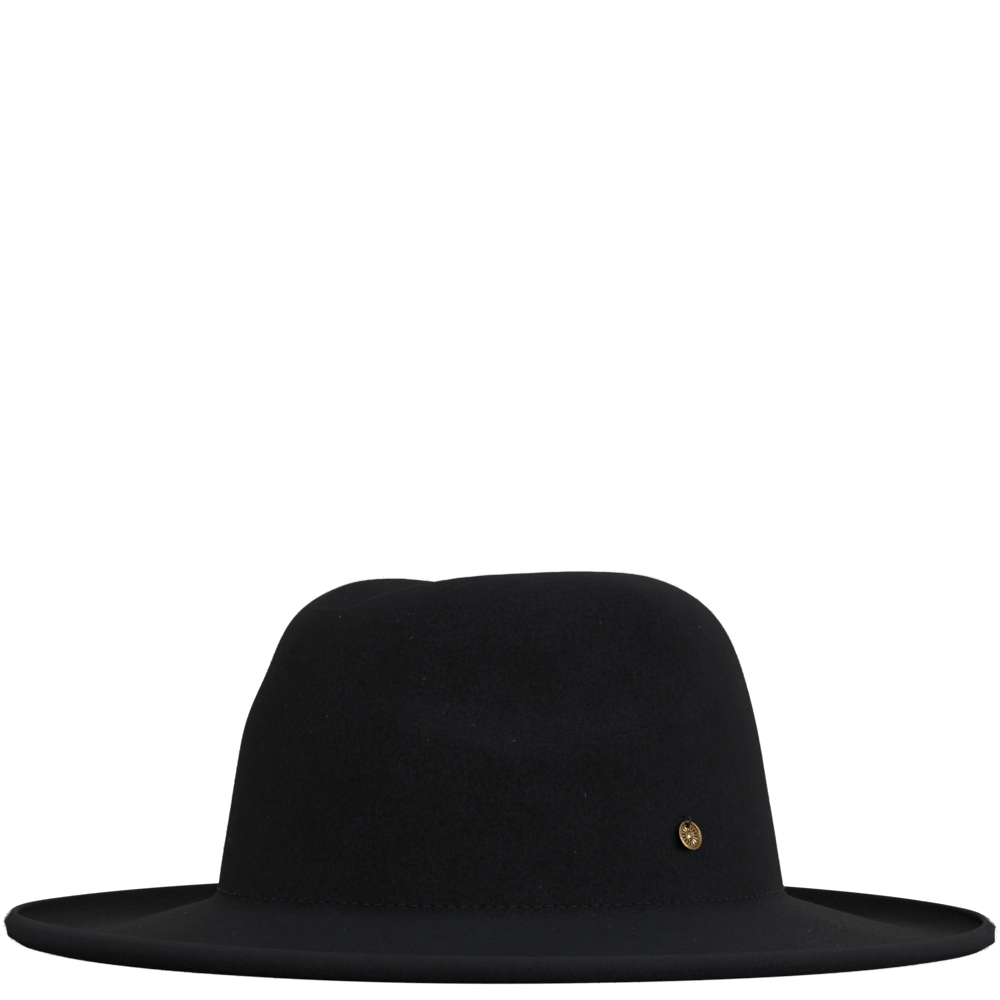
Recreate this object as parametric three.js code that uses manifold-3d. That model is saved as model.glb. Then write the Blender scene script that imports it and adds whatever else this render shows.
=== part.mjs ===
// A fedora of black wool felt, standing by itself on its brim.
//
// Lengths are millimetres and +Z is up. The wearer's face is towards -Y and the wearer's left
// towards +X. The origin is on the table, under the middle of the brim.
// An azimuth is an angle round the hat, 0 at the front and growing towards the wearer's left.
// The break is the line where the crown stands up from the brim.

import * as THREE from 'three';
import { mergeVertices } from 'three/addons/utils/BufferGeometryUtils.js';
import Module from 'manifold-3d';

const wasm = await Module();
wasm.setup();

// Felt and clearances
const FELT = 2.2;
const CLEARANCE = 0.35;

// Crown, outside: its oval at the break, its height above the break before the top is dented,
// and how far each wall leans in over that height
const CROWN_LENGTH = 206;
const CROWN_WIDTH = 173;
const CROWN_HEIGHT = 113;
const CROWN_FORWARD = 0.6;
const FRONT_LEAN = 16;
const SIDE_LEAN = 11.5;
const BACK_LEAN = 24;

// The shoulder is a superellipse: a larger power makes it squarer
const SHOULDER_POWER_UP = 5.6;
const SHOULDER_POWER_OUT = 6.1;
const SHOULDER_HEIGHT = 92;

// The top falls off towards the front, the back and the wearer's right, there more at the back
const FRONT_FALL = 10;
const BACK_FALL = 14.5;
const RIGHT_FALL = 3.7;
const FALL_START = 10.5;
const RIGHT_FALL_REACH = 44;
const RIGHT_BACK_FALL = 2.2;
const RIGHT_BACK_REACH = 20;

// Dent along the top. Below 1, a bias moves its deepest or widest place to the front and a
// power makes its ends or sides steeper; the narrow share is its width at its ends
const DENT_DEPTH = 21;
const DENT_LENGTH = 140;
const DENT_WIDTH = 85;
const DENT_FORWARD = 4.3;
const DENT_DEPTH_BIAS = 0.9;
const DENT_END_POWER = 0.6;
const DENT_WIDTH_BIAS = 1.25;
const DENT_WIDTH_POWER = 0.7;
const DENT_NARROW_SHARE = 0.25;
const DENT_SIDE_POWER = 0.68;

// Finger pinches on both sides of the front: how deep they are, their middle as an azimuth from
// the front and a height above the break, how far they spread round, down and up, and a power
// that gives them a flatter floor and a crisper edge when it is larger
const PINCH_HEIGHT = 84;
const PINCH_ROWS = [
  { side: 'left', depth: 8.6, azimuth: 63, spread: 29, down: 23.5, up: 34, power: 6 },
  { side: 'right', depth: 7.5, azimuth: 55, spread: 29, down: 18.5, up: 30, power: 3.5 },
];

// Brim: it slopes down from the break, rests on a flat ring and curls up and over at its edge
const BRIM_WIDTH = 70.6;
const BREAK_HEIGHT = 16;
const BREAK_FILLET = 4;
const SLOPE_POWER = 1.3;
const REST_WIDTH = 4.5;
const CURL_WIDTH = 7.5;
const LIP_HEIGHT = 9;

// Round the hat at equal steps of azimuth: how high the lip stands, as a share of LIP_HEIGHT,
// how wide the curl is, as a share of CURL_WIDTH, and how far it turns. From the front to the
// back on the left it turns past upright and rolls the lip over
const CURL_ROWS = [
  { azimuth: 0, height: 0.93, width: 1.75, turn: 150 },
  { azimuth: 45, height: 0.77, width: 0.6, turn: 150 },
  { azimuth: 90, height: 0.71, width: 1.35, turn: 150 },
  { azimuth: 135, height: 0.69, width: 1.5, turn: 135 },
  { azimuth: 180, height: 1.01, width: 1.3, turn: 75 },
  { azimuth: 225, height: 1.22, width: 1.5, turn: 50 },
  { azimuth: 270, height: 1.18, width: 2, turn: 45 },
  { azimuth: 315, height: 1.03, width: 1.9, turn: 100 },
];

// Sweatband: a ribbon just inside the foot of the crown
const BAND_THICKNESS = 1;
const BAND_WIDTH = 20;
const BAND_FOOT = 0.7;

// Badge on the wearer's left, above the sweatband: a disc with a raised rim, a small dome and an
// eye for its thread. It hangs from the eye, and its lower edge stands off the wall
const BADGE_AZIMUTH = 97.6;
const BADGE_ABOVE_BAND = 4.3;
const BADGE_TILT = 14;
const BADGE_RADIUS = 5;
const BADGE_RIM_WIDTH = 0.8;
const BADGE_RIM_HEIGHT = 1.3;
const BADGE_FIELD_HEIGHT = 0.75;
const BADGE_DOME_RADIUS = 2;
const BADGE_DOME_HEIGHT = 0.35;
const BADGE_BEVEL = 0.2;
const BADGE_EYE_FROM_RIM = 1.7;

// Thread: one loop that goes through the badge's eye, over its rim and through the felt
const THREAD_RADIUS = 0.4;
const THREAD_SLACK = 0.6;

// Facets
const AZIMUTH_STEPS = 64;
const BADGE_SIDES = 32;
const HOLE_SIDES = 16;
const THREAD_SIDES = 8;
const THREAD_ARC_STEPS = 8;
const EDGE_ANGLES = [60, 120];

const BAND_TOP = BAND_FOOT + BAND_WIDTH;
const BADGE_HEIGHT = BAND_TOP + BADGE_ABOVE_BAND;
const EYE_OFFSET = BADGE_RADIUS - BADGE_EYE_FROM_RIM;
const HOLE_RADIUS = THREAD_RADIUS + CLEARANCE;
const HALF_LENGTH = CROWN_LENGTH / 2;
const HALF_WIDTH = CROWN_WIDTH / 2;
const MEAN_RADIUS = Math.sqrt(HALF_LENGTH * HALF_WIDTH);

const radians = THREE.MathUtils.degToRad;
const lerp = THREE.MathUtils.lerp;
const clamp = THREE.MathUtils.clamp;
const smoothstep = THREE.MathUtils.smoothstep;

// Shapes of the felt

// A column of equally spaced azimuth rows, joined by a smooth closed curve.
function roundTheHat(rows, column, azimuth) {
  const count = rows.length;
  const place = (THREE.MathUtils.euclideanModulo(azimuth, 360) / 360) * count;
  const first = Math.floor(place);
  const t = place - first;
  const value = (k) => rows[THREE.MathUtils.euclideanModulo(first + k, count)][column];
  const [a, b, c, d] = [value(-1), value(0), value(1), value(2)];
  return b + 0.5 * t * (c - a + t * (2 * a - 5 * b + 4 * c - d + t * (3 * (b - c) + d - a)));
}

// The share of the crown's half length and half width by which its wall leans in at the top.
function leanShare(azimuth) {
  const along = Math.cos(radians(azimuth));
  const endLean = along > 0 ? FRONT_LEAN : BACK_LEAN;
  return (SIDE_LEAN / HALF_WIDTH) * (1 - along ** 2) + (endLean / HALF_LENGTH) * along ** 2;
}

// The share of the radius that a pinch takes away at a height above the break. The left pinch
// is at azimuths from 0 to 180, the right one at their mirror images.
function pinchShare(azimuth, height) {
  const turned = THREE.MathUtils.euclideanModulo(azimuth + 180, 360) - 180;
  const row = PINCH_ROWS[turned >= 0 ? 0 : 1];
  const round = (Math.abs(turned) - row.azimuth) / row.spread;
  const rise = (height - PINCH_HEIGHT) / (height < PINCH_HEIGHT ? row.down : row.up);
  const distance = Math.hypot(round, rise);
  return (row.depth / MEAN_RADIUS) * Math.exp(-0.5 * distance ** row.power);
}

// How far the top falls below its full height at a place on it.
function topFall(x, y) {
  const end = HALF_LENGTH - FRONT_LEAN - FALL_START;
  const front = Math.max(0, -y - FALL_START) / end;
  const back = Math.max(0, y - FALL_START) / end;
  const right = smoothstep(-x, 0, RIGHT_FALL_REACH);
  const atBack = smoothstep(y, -RIGHT_BACK_REACH, RIGHT_BACK_REACH);
  const rightFall = RIGHT_FALL + RIGHT_BACK_FALL * atBack;
  return FRONT_FALL * front ** 2 + BACK_FALL * back ** 2 + rightFall * right;
}

// Depth of the dent: a long bowl that narrows to the front and runs out before the back.
function dentDepth(x, y) {
  const t = clamp((y + DENT_FORWARD) / DENT_LENGTH + 0.5, 0, 1);
  const along = Math.sin(Math.PI * t ** DENT_DEPTH_BIAS) ** DENT_END_POWER;
  const widening = Math.sin(Math.PI * t ** DENT_WIDTH_BIAS) ** DENT_WIDTH_POWER;
  const halfWidth = (DENT_WIDTH / 2) * lerp(DENT_NARROW_SHARE, 1, widening);
  const across = clamp(Math.abs(x) / halfWidth, 0, 1);
  return DENT_DEPTH * along * ((1 + Math.cos(Math.PI * across)) / 2) ** DENT_SIDE_POWER;
}

// Outside of the crown. Height and reach are shares of the crown's height and radius, tied by
// the superellipse height^up + reach^out = 1.
function crownPoint(azimuth, height, reach) {
  const pinch = pinchShare(azimuth, height * CROWN_HEIGHT);
  const radius = reach * (1 - leanShare(azimuth) * height) * (1 - pinch);
  const x = HALF_WIDTH * radius * Math.sin(radians(azimuth));
  const y = -HALF_LENGTH * radius * Math.cos(radians(azimuth));
  const fall = topFall(x, y) * height ** SHOULDER_POWER_UP;
  const z = BREAK_HEIGHT + CROWN_HEIGHT * height - fall - dentDepth(x, y);
  return new THREE.Vector3(x, y - CROWN_FORWARD, z);
}

// Outside of the crown's wall at a height above the break.
function wallPoint(azimuth, rise) {
  const height = rise / CROWN_HEIGHT;
  return crownPoint(azimuth, height, (1 - height ** SHOULDER_POWER_UP) ** (1 / SHOULDER_POWER_OUT));
}

// Upper face of the brim at a distance out from the break.
function brimPoint(azimuth, out, height) {
  const x = (HALF_WIDTH + out) * Math.sin(radians(azimuth));
  const y = -(HALF_LENGTH + out) * Math.cos(radians(azimuth));
  return new THREE.Vector3(x, y - CROWN_FORWARD * (1 - out / BRIM_WIDTH), height);
}

const curlWidth = (azimuth) => CURL_WIDTH * roundTheHat(CURL_ROWS, 'width', azimuth);
const lipHeight = (azimuth) => LIP_HEIGHT * roundTheHat(CURL_ROWS, 'height', azimuth);
const curlTurn = (azimuth) => radians(roundTheHat(CURL_ROWS, 'turn', azimuth));
const slopeEnd = (azimuth) => BRIM_WIDTH - curlWidth(azimuth) - REST_WIDTH;

function slopePoint(azimuth, out) {
  const left = Math.max(0, 1 - out / slopeEnd(azimuth));
  return brimPoint(azimuth, out, FELT + (BREAK_HEIGHT - FELT) * left ** SLOPE_POWER);
}

// The outside runs from the pole of the crown to the edge of the brim in six stretches. Each
// gives a point for a share from 0, its inner end, to 1, its outer end.
const SHOULDER_SHARE = SHOULDER_HEIGHT / CROWN_HEIGHT;
const SHOULDER_REACH = (1 - SHOULDER_SHARE ** SHOULDER_POWER_UP) ** (1 / SHOULDER_POWER_OUT);

function topStretch(azimuth, share) {
  const reach = SHOULDER_REACH * share;
  return crownPoint(azimuth, (1 - reach ** SHOULDER_POWER_OUT) ** (1 / SHOULDER_POWER_UP), reach);
}

function wallStretch(azimuth, share) {
  return wallPoint(azimuth, lerp(SHOULDER_HEIGHT, BREAK_FILLET, share));
}

// A quadratic curve rounds the break off, with the break itself as its corner.
function breakStretch(azimuth, share) {
  const above = wallPoint(azimuth, BREAK_FILLET).multiplyScalar((1 - share) ** 2);
  const corner = wallPoint(azimuth, 0).multiplyScalar(2 * share * (1 - share));
  const beyond = slopePoint(azimuth, BREAK_FILLET).multiplyScalar(share ** 2);
  return above.add(corner).add(beyond);
}

function slopeStretch(azimuth, share) {
  return slopePoint(azimuth, lerp(BREAK_FILLET, slopeEnd(azimuth), share));
}

function restStretch(azimuth, share) {
  return brimPoint(azimuth, slopeEnd(azimuth) + REST_WIDTH * share, FELT);
}

// The curl is an arc of an ellipse, flat at its foot. Where it turns past upright, the lip leans
// in; elsewhere its end is the widest place.
function curlStretch(azimuth, share) {
  const whole = curlTurn(azimuth);
  const out = Math.sin(whole * share) / Math.sin(Math.min(whole, Math.PI / 2));
  const rise = (1 - Math.cos(whole * share)) / (1 - Math.cos(whole));
  const height = FELT + (lipHeight(azimuth) - FELT) * rise;
  return brimPoint(azimuth, BRIM_WIDTH - curlWidth(azimuth) * (1 - out), height);
}

const STRETCHES = [
  { at: topStretch, shares: [0.1, 0.2, 0.3, 0.4, 0.5, 0.6, 0.69, 0.77, 0.84, 0.9, 0.95, 1] },
  { at: wallStretch, shares: [0.05, 0.1, 0.16, 0.22, 0.29, 0.37, 0.46, 0.58, 0.78, 1] },
  { at: breakStretch, shares: [0.33, 0.67, 1] },
  { at: slopeStretch, shares: [0.25, 0.5, 0.75, 0.93] },
  { at: restStretch, shares: [0, 1] },
  { at: curlStretch, shares: [0.15, 0.3, 0.45, 0.6, 0.8, 1] },
];

// Outward normal of a stretch, from two small steps on it.
function normalOf(at, azimuth, share) {
  const step = 1e-3;
  const outer = Math.min(share + step, 1);
  const inner = Math.max(share - step, 0);
  const down = at(azimuth, outer).sub(at(azimuth, inner));
  const round = at(azimuth + step, share).sub(at(azimuth - step, share));
  return down.cross(round).normalize();
}

// The closed shell of felt

// One ring of points at a depth below the outside of a stretch.
function ringBelow(at, share, depth) {
  return Array.from({ length: AZIMUTH_STEPS }, (_, k) => {
    const azimuth = (360 * k) / AZIMUTH_STEPS;
    return at(azimuth, share).addScaledVector(normalOf(at, azimuth, share), -depth);
  });
}

// One ring of points on the round edge of the brim, at an angle from its upper to its lower side.
function edgeRing(angle) {
  const outside = ringBelow(curlStretch, 1, 0);
  const middle = ringBelow(curlStretch, 1, FELT / 2);
  return middle.map((point, k) => {
    const azimuth = (360 * k) / AZIMUTH_STEPS;
    const up = outside[k].clone().sub(point);
    const round = curlStretch(azimuth + 1, 1).sub(curlStretch(azimuth - 1, 1)).normalize();
    const out = round.cross(up);
    return point.clone().addScaledVector(up, Math.cos(angle)).addScaledVector(out, Math.sin(angle));
  });
}

// A closed surface through rings of points, with a single point at each end.
function closedSurface(firstPole, rings, lastPole) {
  const points = [firstPole, ...rings.flat(), lastPole];
  const index = [];
  const place = (ring, k) => 1 + ring * AZIMUTH_STEPS + (k % AZIMUTH_STEPS);
  for (let k = 0; k < AZIMUTH_STEPS; k++) {
    index.push(0, place(0, k), place(0, k + 1));
    for (let ring = 0; ring + 1 < rings.length; ring++) {
      index.push(place(ring, k), place(ring + 1, k), place(ring + 1, k + 1));
      index.push(place(ring, k), place(ring + 1, k + 1), place(ring, k + 1));
    }
    index.push(place(rings.length - 1, k), points.length - 1, place(rings.length - 1, k + 1));
  }
  const geometry = new THREE.BufferGeometry().setFromPoints(points);
  geometry.setIndex(index);
  return geometry;
}

function feltShell() {
  const outside = [];
  const inside = [];
  for (const { at, shares } of STRETCHES) {
    for (const share of shares) {
      outside.push(ringBelow(at, share, 0));
      inside.unshift(ringBelow(at, share, FELT));
    }
  }
  const edge = EDGE_ANGLES.map((degrees) => edgeRing(radians(degrees)));
  const pole = topStretch(0, 0);
  const poleBelow = pole.clone().addScaledVector(new THREE.Vector3(0, 0, 1), -FELT);
  return closedSurface(pole, [...outside, ...edge, ...inside], poleBelow);
}

// Cutting

function solidOf(geometry) {
  const bare = geometry.clone();
  bare.deleteAttribute('normal');
  bare.deleteAttribute('uv');
  const merged = mergeVertices(bare, 1e-4);
  const mesh = new wasm.Mesh({
    numProp: 3,
    vertProperties: new Float32Array(merged.attributes.position.array),
    triVerts: new Uint32Array(merged.index.array),
  });
  return new wasm.Manifold(mesh);
}

function geometryOf(solid) {
  const mesh = solid.getMesh();
  const geometry = new THREE.BufferGeometry();
  geometry.setAttribute('position', new THREE.BufferAttribute(mesh.vertProperties, 3));
  geometry.setIndex(new THREE.BufferAttribute(mesh.triVerts, 1));
  return geometry;
}

// A cylinder that drills a hole along the Z axis
function drill(depth) {
  return new THREE.CylinderGeometry(HOLE_RADIUS, HOLE_RADIUS, depth, HOLE_SIDES).rotateX(Math.PI / 2);
}

// The badge's seat lies on the wall: +Z is the wall's outward normal, +Y runs up the wall
const wallAt = (azimuth, share) => wallPoint(azimuth, BADGE_HEIGHT * (1 - share));
const seatOut = normalOf(wallAt, BADGE_AZIMUTH, 0);
const seatAlong = new THREE.Vector3(0, 0, 1).cross(seatOut).normalize();
const badgeSeat = new THREE.Group();
badgeSeat.position.copy(wallAt(BADGE_AZIMUTH, 0));
badgeSeat.quaternion.setFromRotationMatrix(
  new THREE.Matrix4().makeBasis(seatAlong, seatOut.clone().cross(seatAlong), seatOut),
);
badgeSeat.updateMatrix();

// In the seat, the badge is tilted about its upper edge, which lies a clearance off the wall
const badgePlace = new THREE.Group();
badgePlace.rotation.x = -radians(BADGE_TILT);
badgePlace.position.z = CLEARANCE + BADGE_RADIUS * Math.sin(radians(BADGE_TILT));
badgePlace.updateMatrix();

// The thread's loop goes down through the eye and comes up beyond the rim, as far from the
// rim's edge as the eye is
const eye = new THREE.Vector3(0, EYE_OFFSET, BADGE_FIELD_HEIGHT / 2).applyMatrix4(badgePlace.matrix);
const LOOP_RADIUS = BADGE_EYE_FROM_RIM;

// Felt body: crown and brim, one hood of felt with two holes for the badge's thread
function feltBody() {
  let solid = solidOf(feltShell());
  for (const up of [eye.y, eye.y + 2 * LOOP_RADIUS]) {
    const hole = drill(3 * FELT).translate(0, up, 0).applyMatrix4(badgeSeat.matrix);
    solid = solid.subtract(solidOf(hole));
  }
  return geometryOf(solid);
}

// A ring through loops of points, closed along the loops and from the last loop to the first
function ringSurface(loops) {
  const steps = loops[0].length;
  const index = [];
  const place = (loop, k) => (loop % loops.length) * steps + (k % steps);
  for (let loop = 0; loop < loops.length; loop++) {
    for (let k = 0; k < steps; k++) {
      index.push(place(loop, k), place(loop + 1, k), place(loop + 1, k + 1));
      index.push(place(loop, k), place(loop + 1, k + 1), place(loop, k + 1));
    }
  }
  const geometry = new THREE.BufferGeometry().setFromPoints(loops.flat());
  geometry.setIndex(index);
  return geometry;
}

// Sweatband: a closed ribbon that follows the inside of the wall
function sweatband() {
  const wallBetween = (azimuth, share) => wallPoint(azimuth, lerp(BAND_TOP, BAND_FOOT, share));
  const outer = FELT + CLEARANCE;
  const inner = outer + BAND_THICKNESS;
  return ringSurface([
    ringBelow(wallBetween, 0, inner),
    ringBelow(wallBetween, 0, outer),
    ringBelow(wallBetween, 1, outer),
    ringBelow(wallBetween, 1, inner),
  ]);
}

// Badge: its back face is at height 0. The profile of [radius, height] pairs turns about Z
function badge() {
  const rimInside = BADGE_RADIUS - BADGE_RIM_WIDTH;
  const dome = [1, 0.5, 0].map((share) => [
    BADGE_DOME_RADIUS * share,
    BADGE_FIELD_HEIGHT + BADGE_DOME_HEIGHT * (1 - share ** 2),
  ]);
  const profile = [
    [0, 0],
    [BADGE_RADIUS - BADGE_BEVEL, 0],
    [BADGE_RADIUS, BADGE_BEVEL],
    [BADGE_RADIUS, BADGE_RIM_HEIGHT - BADGE_BEVEL],
    [BADGE_RADIUS - BADGE_BEVEL, BADGE_RIM_HEIGHT],
    [rimInside + BADGE_BEVEL, BADGE_RIM_HEIGHT],
    [rimInside, BADGE_FIELD_HEIGHT],
    ...dome,
  ];
  const points = profile.map(([radius, height]) => new THREE.Vector2(radius, height));
  const disc = new THREE.LatheGeometry(points, BADGE_SIDES).rotateX(Math.PI / 2);
  const hole = drill(3 * BADGE_RIM_HEIGHT).translate(0, EYE_OFFSET, 0);
  return geometryOf(solidOf(disc).subtract(solidOf(hole)));
}

// Thread, in the seat: two half circles, one over the badge's rim and one behind the felt,
// joined by two straight sides through the felt
function badgeThread() {
  const rim = new THREE.Vector3(0, BADGE_RADIUS - BADGE_RIM_WIDTH, BADGE_RIM_HEIGHT);
  const overRim = rim.applyMatrix4(badgePlace.matrix).z + THREAD_SLACK + THREAD_RADIUS;
  const middles = [overRim - LOOP_RADIUS, -FELT];
  const stations = [];
  middles.forEach((height, end) => {
    for (let step = 0; step <= THREAD_ARC_STEPS; step++) {
      const turn = Math.PI * (end + step / THREAD_ARC_STEPS);
      stations.push({ height, out: new THREE.Vector3(0, Math.cos(turn), Math.sin(turn)) });
    }
  });
  const across = new THREE.Vector3(1, 0, 0);
  const loops = Array.from({ length: THREAD_SIDES }, (_, side) => {
    const angle = (2 * Math.PI * side) / THREAD_SIDES;
    return stations.map(({ height, out }) => new THREE.Vector3(0, eye.y + LOOP_RADIUS, height)
      .addScaledVector(out, LOOP_RADIUS + THREAD_RADIUS * Math.cos(angle))
      .addScaledVector(across, -THREAD_RADIUS * Math.sin(angle)));
  });
  return ringSurface(loops);
}

// The hat

const felt = { color: 0x1a1c1e, roughness: 0.95, metalness: 0 };
const ribbon = { color: 0x141414, roughness: 0.8, metalness: 0 };
const thread = { color: 0x17191b, roughness: 0.8, metalness: 0 };
const gold = { color: 0xd8b878, roughness: 0.25, metalness: 1 };

function piece(name, geometry, finish) {
  geometry.computeVertexNormals();
  const mesh = new THREE.Mesh(geometry, new THREE.MeshStandardMaterial(finish));
  mesh.name = name;
  return mesh;
}

badgePlace.add(piece('badge', badge(), gold));
badgeSeat.add(badgePlace, piece('badge_thread', badgeThread(), thread));

const hat = new THREE.Group();
hat.add(piece('felt_body', feltBody(), felt));
hat.add(piece('sweatband', sweatband(), ribbon));
hat.add(badgeSeat);

export default hat;
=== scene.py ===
"""A fedora of black wool felt, standing by itself on a white table.

Lengths are millimetres until a mesh is made, and +Z is up. The wearer's face is towards -Y and the
wearer's left towards +X. An azimuth is an angle round the hat in degrees, 0 at the front and
growing towards the wearer's left. The break is the line where the crown stands up from the brim.
A surface is a function of azimuth and of a share from 0 to 1 along a stretch of the hat's outline.
"""

import bpy
import numpy as np
from mathutils import Matrix


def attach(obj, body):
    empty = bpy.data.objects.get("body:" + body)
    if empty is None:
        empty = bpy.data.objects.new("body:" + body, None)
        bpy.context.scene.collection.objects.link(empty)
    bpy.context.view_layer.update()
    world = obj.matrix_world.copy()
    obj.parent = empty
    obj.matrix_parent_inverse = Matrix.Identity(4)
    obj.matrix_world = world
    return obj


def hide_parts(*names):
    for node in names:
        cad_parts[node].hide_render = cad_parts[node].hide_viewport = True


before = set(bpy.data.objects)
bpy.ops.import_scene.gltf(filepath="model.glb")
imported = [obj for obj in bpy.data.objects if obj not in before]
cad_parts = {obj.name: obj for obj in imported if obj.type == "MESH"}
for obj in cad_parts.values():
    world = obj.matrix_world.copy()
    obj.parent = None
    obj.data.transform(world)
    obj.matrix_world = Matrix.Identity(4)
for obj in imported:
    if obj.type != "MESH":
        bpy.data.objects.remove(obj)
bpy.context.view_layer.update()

MM = 0.001

# Felt and clearance, as in the solids
FELT = 2.2
CLEARANCE = 0.35

# Crown: its oval at the break, its height above the break before the top is dented, how far its
# middle stands in front of the brim's, and how far each wall leans in over that height
CROWN_LENGTH = 206.0
CROWN_WIDTH = 173.0
CROWN_HEIGHT = 113.0
CROWN_FORWARD = 0.6
FRONT_LEAN = 16.0
SIDE_LEAN = 11.5
BACK_LEAN = 24.0
SHOULDER_POWER_UP = 5.6
SHOULDER_POWER_OUT = 6.1
SHOULDER_HEIGHT = 92.0

# The top falls off towards the front, the back and the wearer's right, there more at the back
FRONT_FALL = 10.0
BACK_FALL = 14.5
RIGHT_FALL = 3.7
RIGHT_BACK_FALL = 2.2
RIGHT_BACK_REACH = 20.0
FALL_START = 10.5
RIGHT_FALL_REACH = 44.0

# Dent along the top
DENT_DEPTH = 21.0
DENT_LENGTH = 140.0
DENT_WIDTH = 85.0
DENT_FORWARD = 4.3
DENT_DEPTH_BIAS = 0.9
DENT_END_POWER = 0.6
DENT_WIDTH_BIAS = 1.25
DENT_WIDTH_POWER = 0.7
DENT_NARROW_SHARE = 0.25
DENT_SIDE_POWER = 0.68

# Finger pinches on both sides of the front, in height above the break
PINCH_HEIGHT = 84.0
PINCH_ROWS = {
    "left": {"depth": 8.6, "azimuth": 63.0, "spread": 29.0, "down": 23.5, "up": 34.0, "power": 6.0},
    "right": {"depth": 7.5, "azimuth": 55.0, "spread": 29.0, "down": 18.5, "up": 30.0, "power": 3.5},
}

# Brim: it slopes down from the break, rests on a flat ring and curls up and over at its edge
BRIM_WIDTH = 70.6
BREAK_HEIGHT = 16.0
BREAK_FILLET = 4.0
SLOPE_POWER = 1.3
REST_WIDTH = 4.5
CURL_WIDTH = 7.5
LIP_HEIGHT = 9.0

# Every 45 degrees of azimuth from the front: shares of the lip's height and of the curl's width,
# and how far the curl turns in degrees, past 90 where it leans back over the brim
LIP_SHARES = (0.93, 0.77, 0.71, 0.69, 1.01, 1.22, 1.18, 1.03)
CURL_SHARES = (1.75, 0.6, 1.35, 1.5, 1.3, 1.5, 2.0, 1.9)
CURL_TURNS = (150, 150, 150, 135, 75, 50, 45, 100)

# Sweatband
BAND_THICKNESS = 1.0
BAND_WIDTH = 20.0
BAND_FOOT = 0.7

# Badge and its thread
BADGE_AZIMUTH = 97.6
BADGE_ABOVE_BAND = 4.3
BADGE_TILT = 14.0
BADGE_RADIUS = 5.0
BADGE_RIM_WIDTH = 0.8
BADGE_RIM_HEIGHT = 1.3
BADGE_FIELD_HEIGHT = 0.75
BADGE_EYE_FROM_RIM = 1.7
THREAD_RADIUS = 0.4
THREAD_SLACK = 0.6

HALF_LENGTH = CROWN_LENGTH / 2
HALF_WIDTH = CROWN_WIDTH / 2
MEAN_RADIUS = np.sqrt(HALF_LENGTH * HALF_WIDTH)
BAND_TOP = BAND_FOOT + BAND_WIDTH
BADGE_HEIGHT = BAND_TOP + BADGE_ABOVE_BAND

# Stitches round the crown's foot
STITCH_COUNT = 146
STITCH_SHARE = 0.1
STITCH_LENGTH = 2.7
STITCH_RADIUS = 0.3
FOOT_STEPS = 1440

# Camera


def place_camera():
    """Level camera at the photograph's place: a turn about the hat, a distance and a height.

    Its lens is the focal length in widths of the picture, and it rolls a little clockwise."""
    turn, roll = np.radians(53.62), np.radians(0.64)
    distance, height, aside = 1848.7, 152.2, -3.29
    right = np.array([np.cos(turn), np.sin(turn), 0])
    ahead = np.array([-np.sin(turn), np.cos(turn), 0])
    up = np.array([0, 0, 1.0])
    data = bpy.data.cameras.new("camera")
    data.sensor_width = 36
    data.lens = 5.378 * data.sensor_width
    data.clip_end = 100
    camera = bpy.data.objects.new("camera", data)
    bpy.context.scene.collection.objects.link(camera)
    place = (aside * right - distance * ahead + height * up) * MM
    rolled_right = np.cos(roll) * right + np.sin(roll) * up
    rolled_up = np.cos(roll) * up - np.sin(roll) * right
    axes = np.stack([rolled_right, rolled_up, -ahead], 1)
    camera.matrix_world = Matrix.LocRotScale(place.tolist(), Matrix(axes.tolist()), None)
    bpy.context.scene.camera = camera


place_camera()


# Shapes of the felt


def joined(*parts):
    """Coordinates of equal or spread shapes as points."""
    return np.stack(np.broadcast_arrays(*parts), -1)


def smoothstep(low, high, value):
    """0 below low, 1 above high and 3k^2 - 2k^3 of the share k between them."""
    k = np.clip((value - low) / (high - low), 0, 1)
    return k * k * (3 - 2 * k)


def bell(distance, spread):
    """exp(-d^2 / 2s^2)."""
    return np.exp(-0.5 * (distance / spread) ** 2)


def round_the_hat(shares, azimuth):
    """A smooth closed curve (Catmull-Rom) through shares at equal steps of azimuth."""
    values = np.asarray(shares)
    place = np.mod(azimuth, 360) / 360 * len(values)
    first = np.floor(place).astype(int)
    t = place - first
    a, b, c, d = (values[(first + k) % len(values)] for k in (-1, 0, 1, 2))
    return b + 0.5 * t * (c - a + t * (2 * a - 5 * b + 4 * c - d + t * (3 * (b - c) + d - a)))


def pinch_share(azimuth, height):
    """Share of the radius that a pinch takes away.

    depth/radius x exp(-d^power / 2), d being the distance from the pinch's middle in spreads."""
    turned = np.mod(azimuth + 180, 360) - 180
    left, right = PINCH_ROWS["left"], PINCH_ROWS["right"]
    row = {key: np.where(turned >= 0, left[key], right[key]) for key in left}
    around = (np.abs(turned) - row["azimuth"]) / row["spread"]
    rise = (height - PINCH_HEIGHT) / np.where(height < PINCH_HEIGHT, row["down"], row["up"])
    return row["depth"] / MEAN_RADIUS * np.exp(-0.5 * np.hypot(around, rise) ** row["power"])


def top_fall(x, y):
    """Fall of the top: squares of the distance to the front and back, a smooth step to the right.

    The step to the right grows by a second smooth step from the front to the back."""
    end = HALF_LENGTH - FRONT_LEAN - FALL_START
    front = np.maximum(0, -y - FALL_START) / end
    back = np.maximum(0, y - FALL_START) / end
    right = smoothstep(0, RIGHT_FALL_REACH, -x)
    far_right = RIGHT_FALL + RIGHT_BACK_FALL * smoothstep(-RIGHT_BACK_REACH, RIGHT_BACK_REACH, y)
    return FRONT_FALL * front**2 + BACK_FALL * back**2 + far_right * right


def dent_along(y):
    """The dent's depth along its middle as a share of the whole: a power of a half sine."""
    t = np.clip((y + DENT_FORWARD) / DENT_LENGTH + 0.5, 0, 1)
    return np.clip(np.sin(np.pi * t**DENT_DEPTH_BIAS), 0, 1) ** DENT_END_POWER


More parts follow.
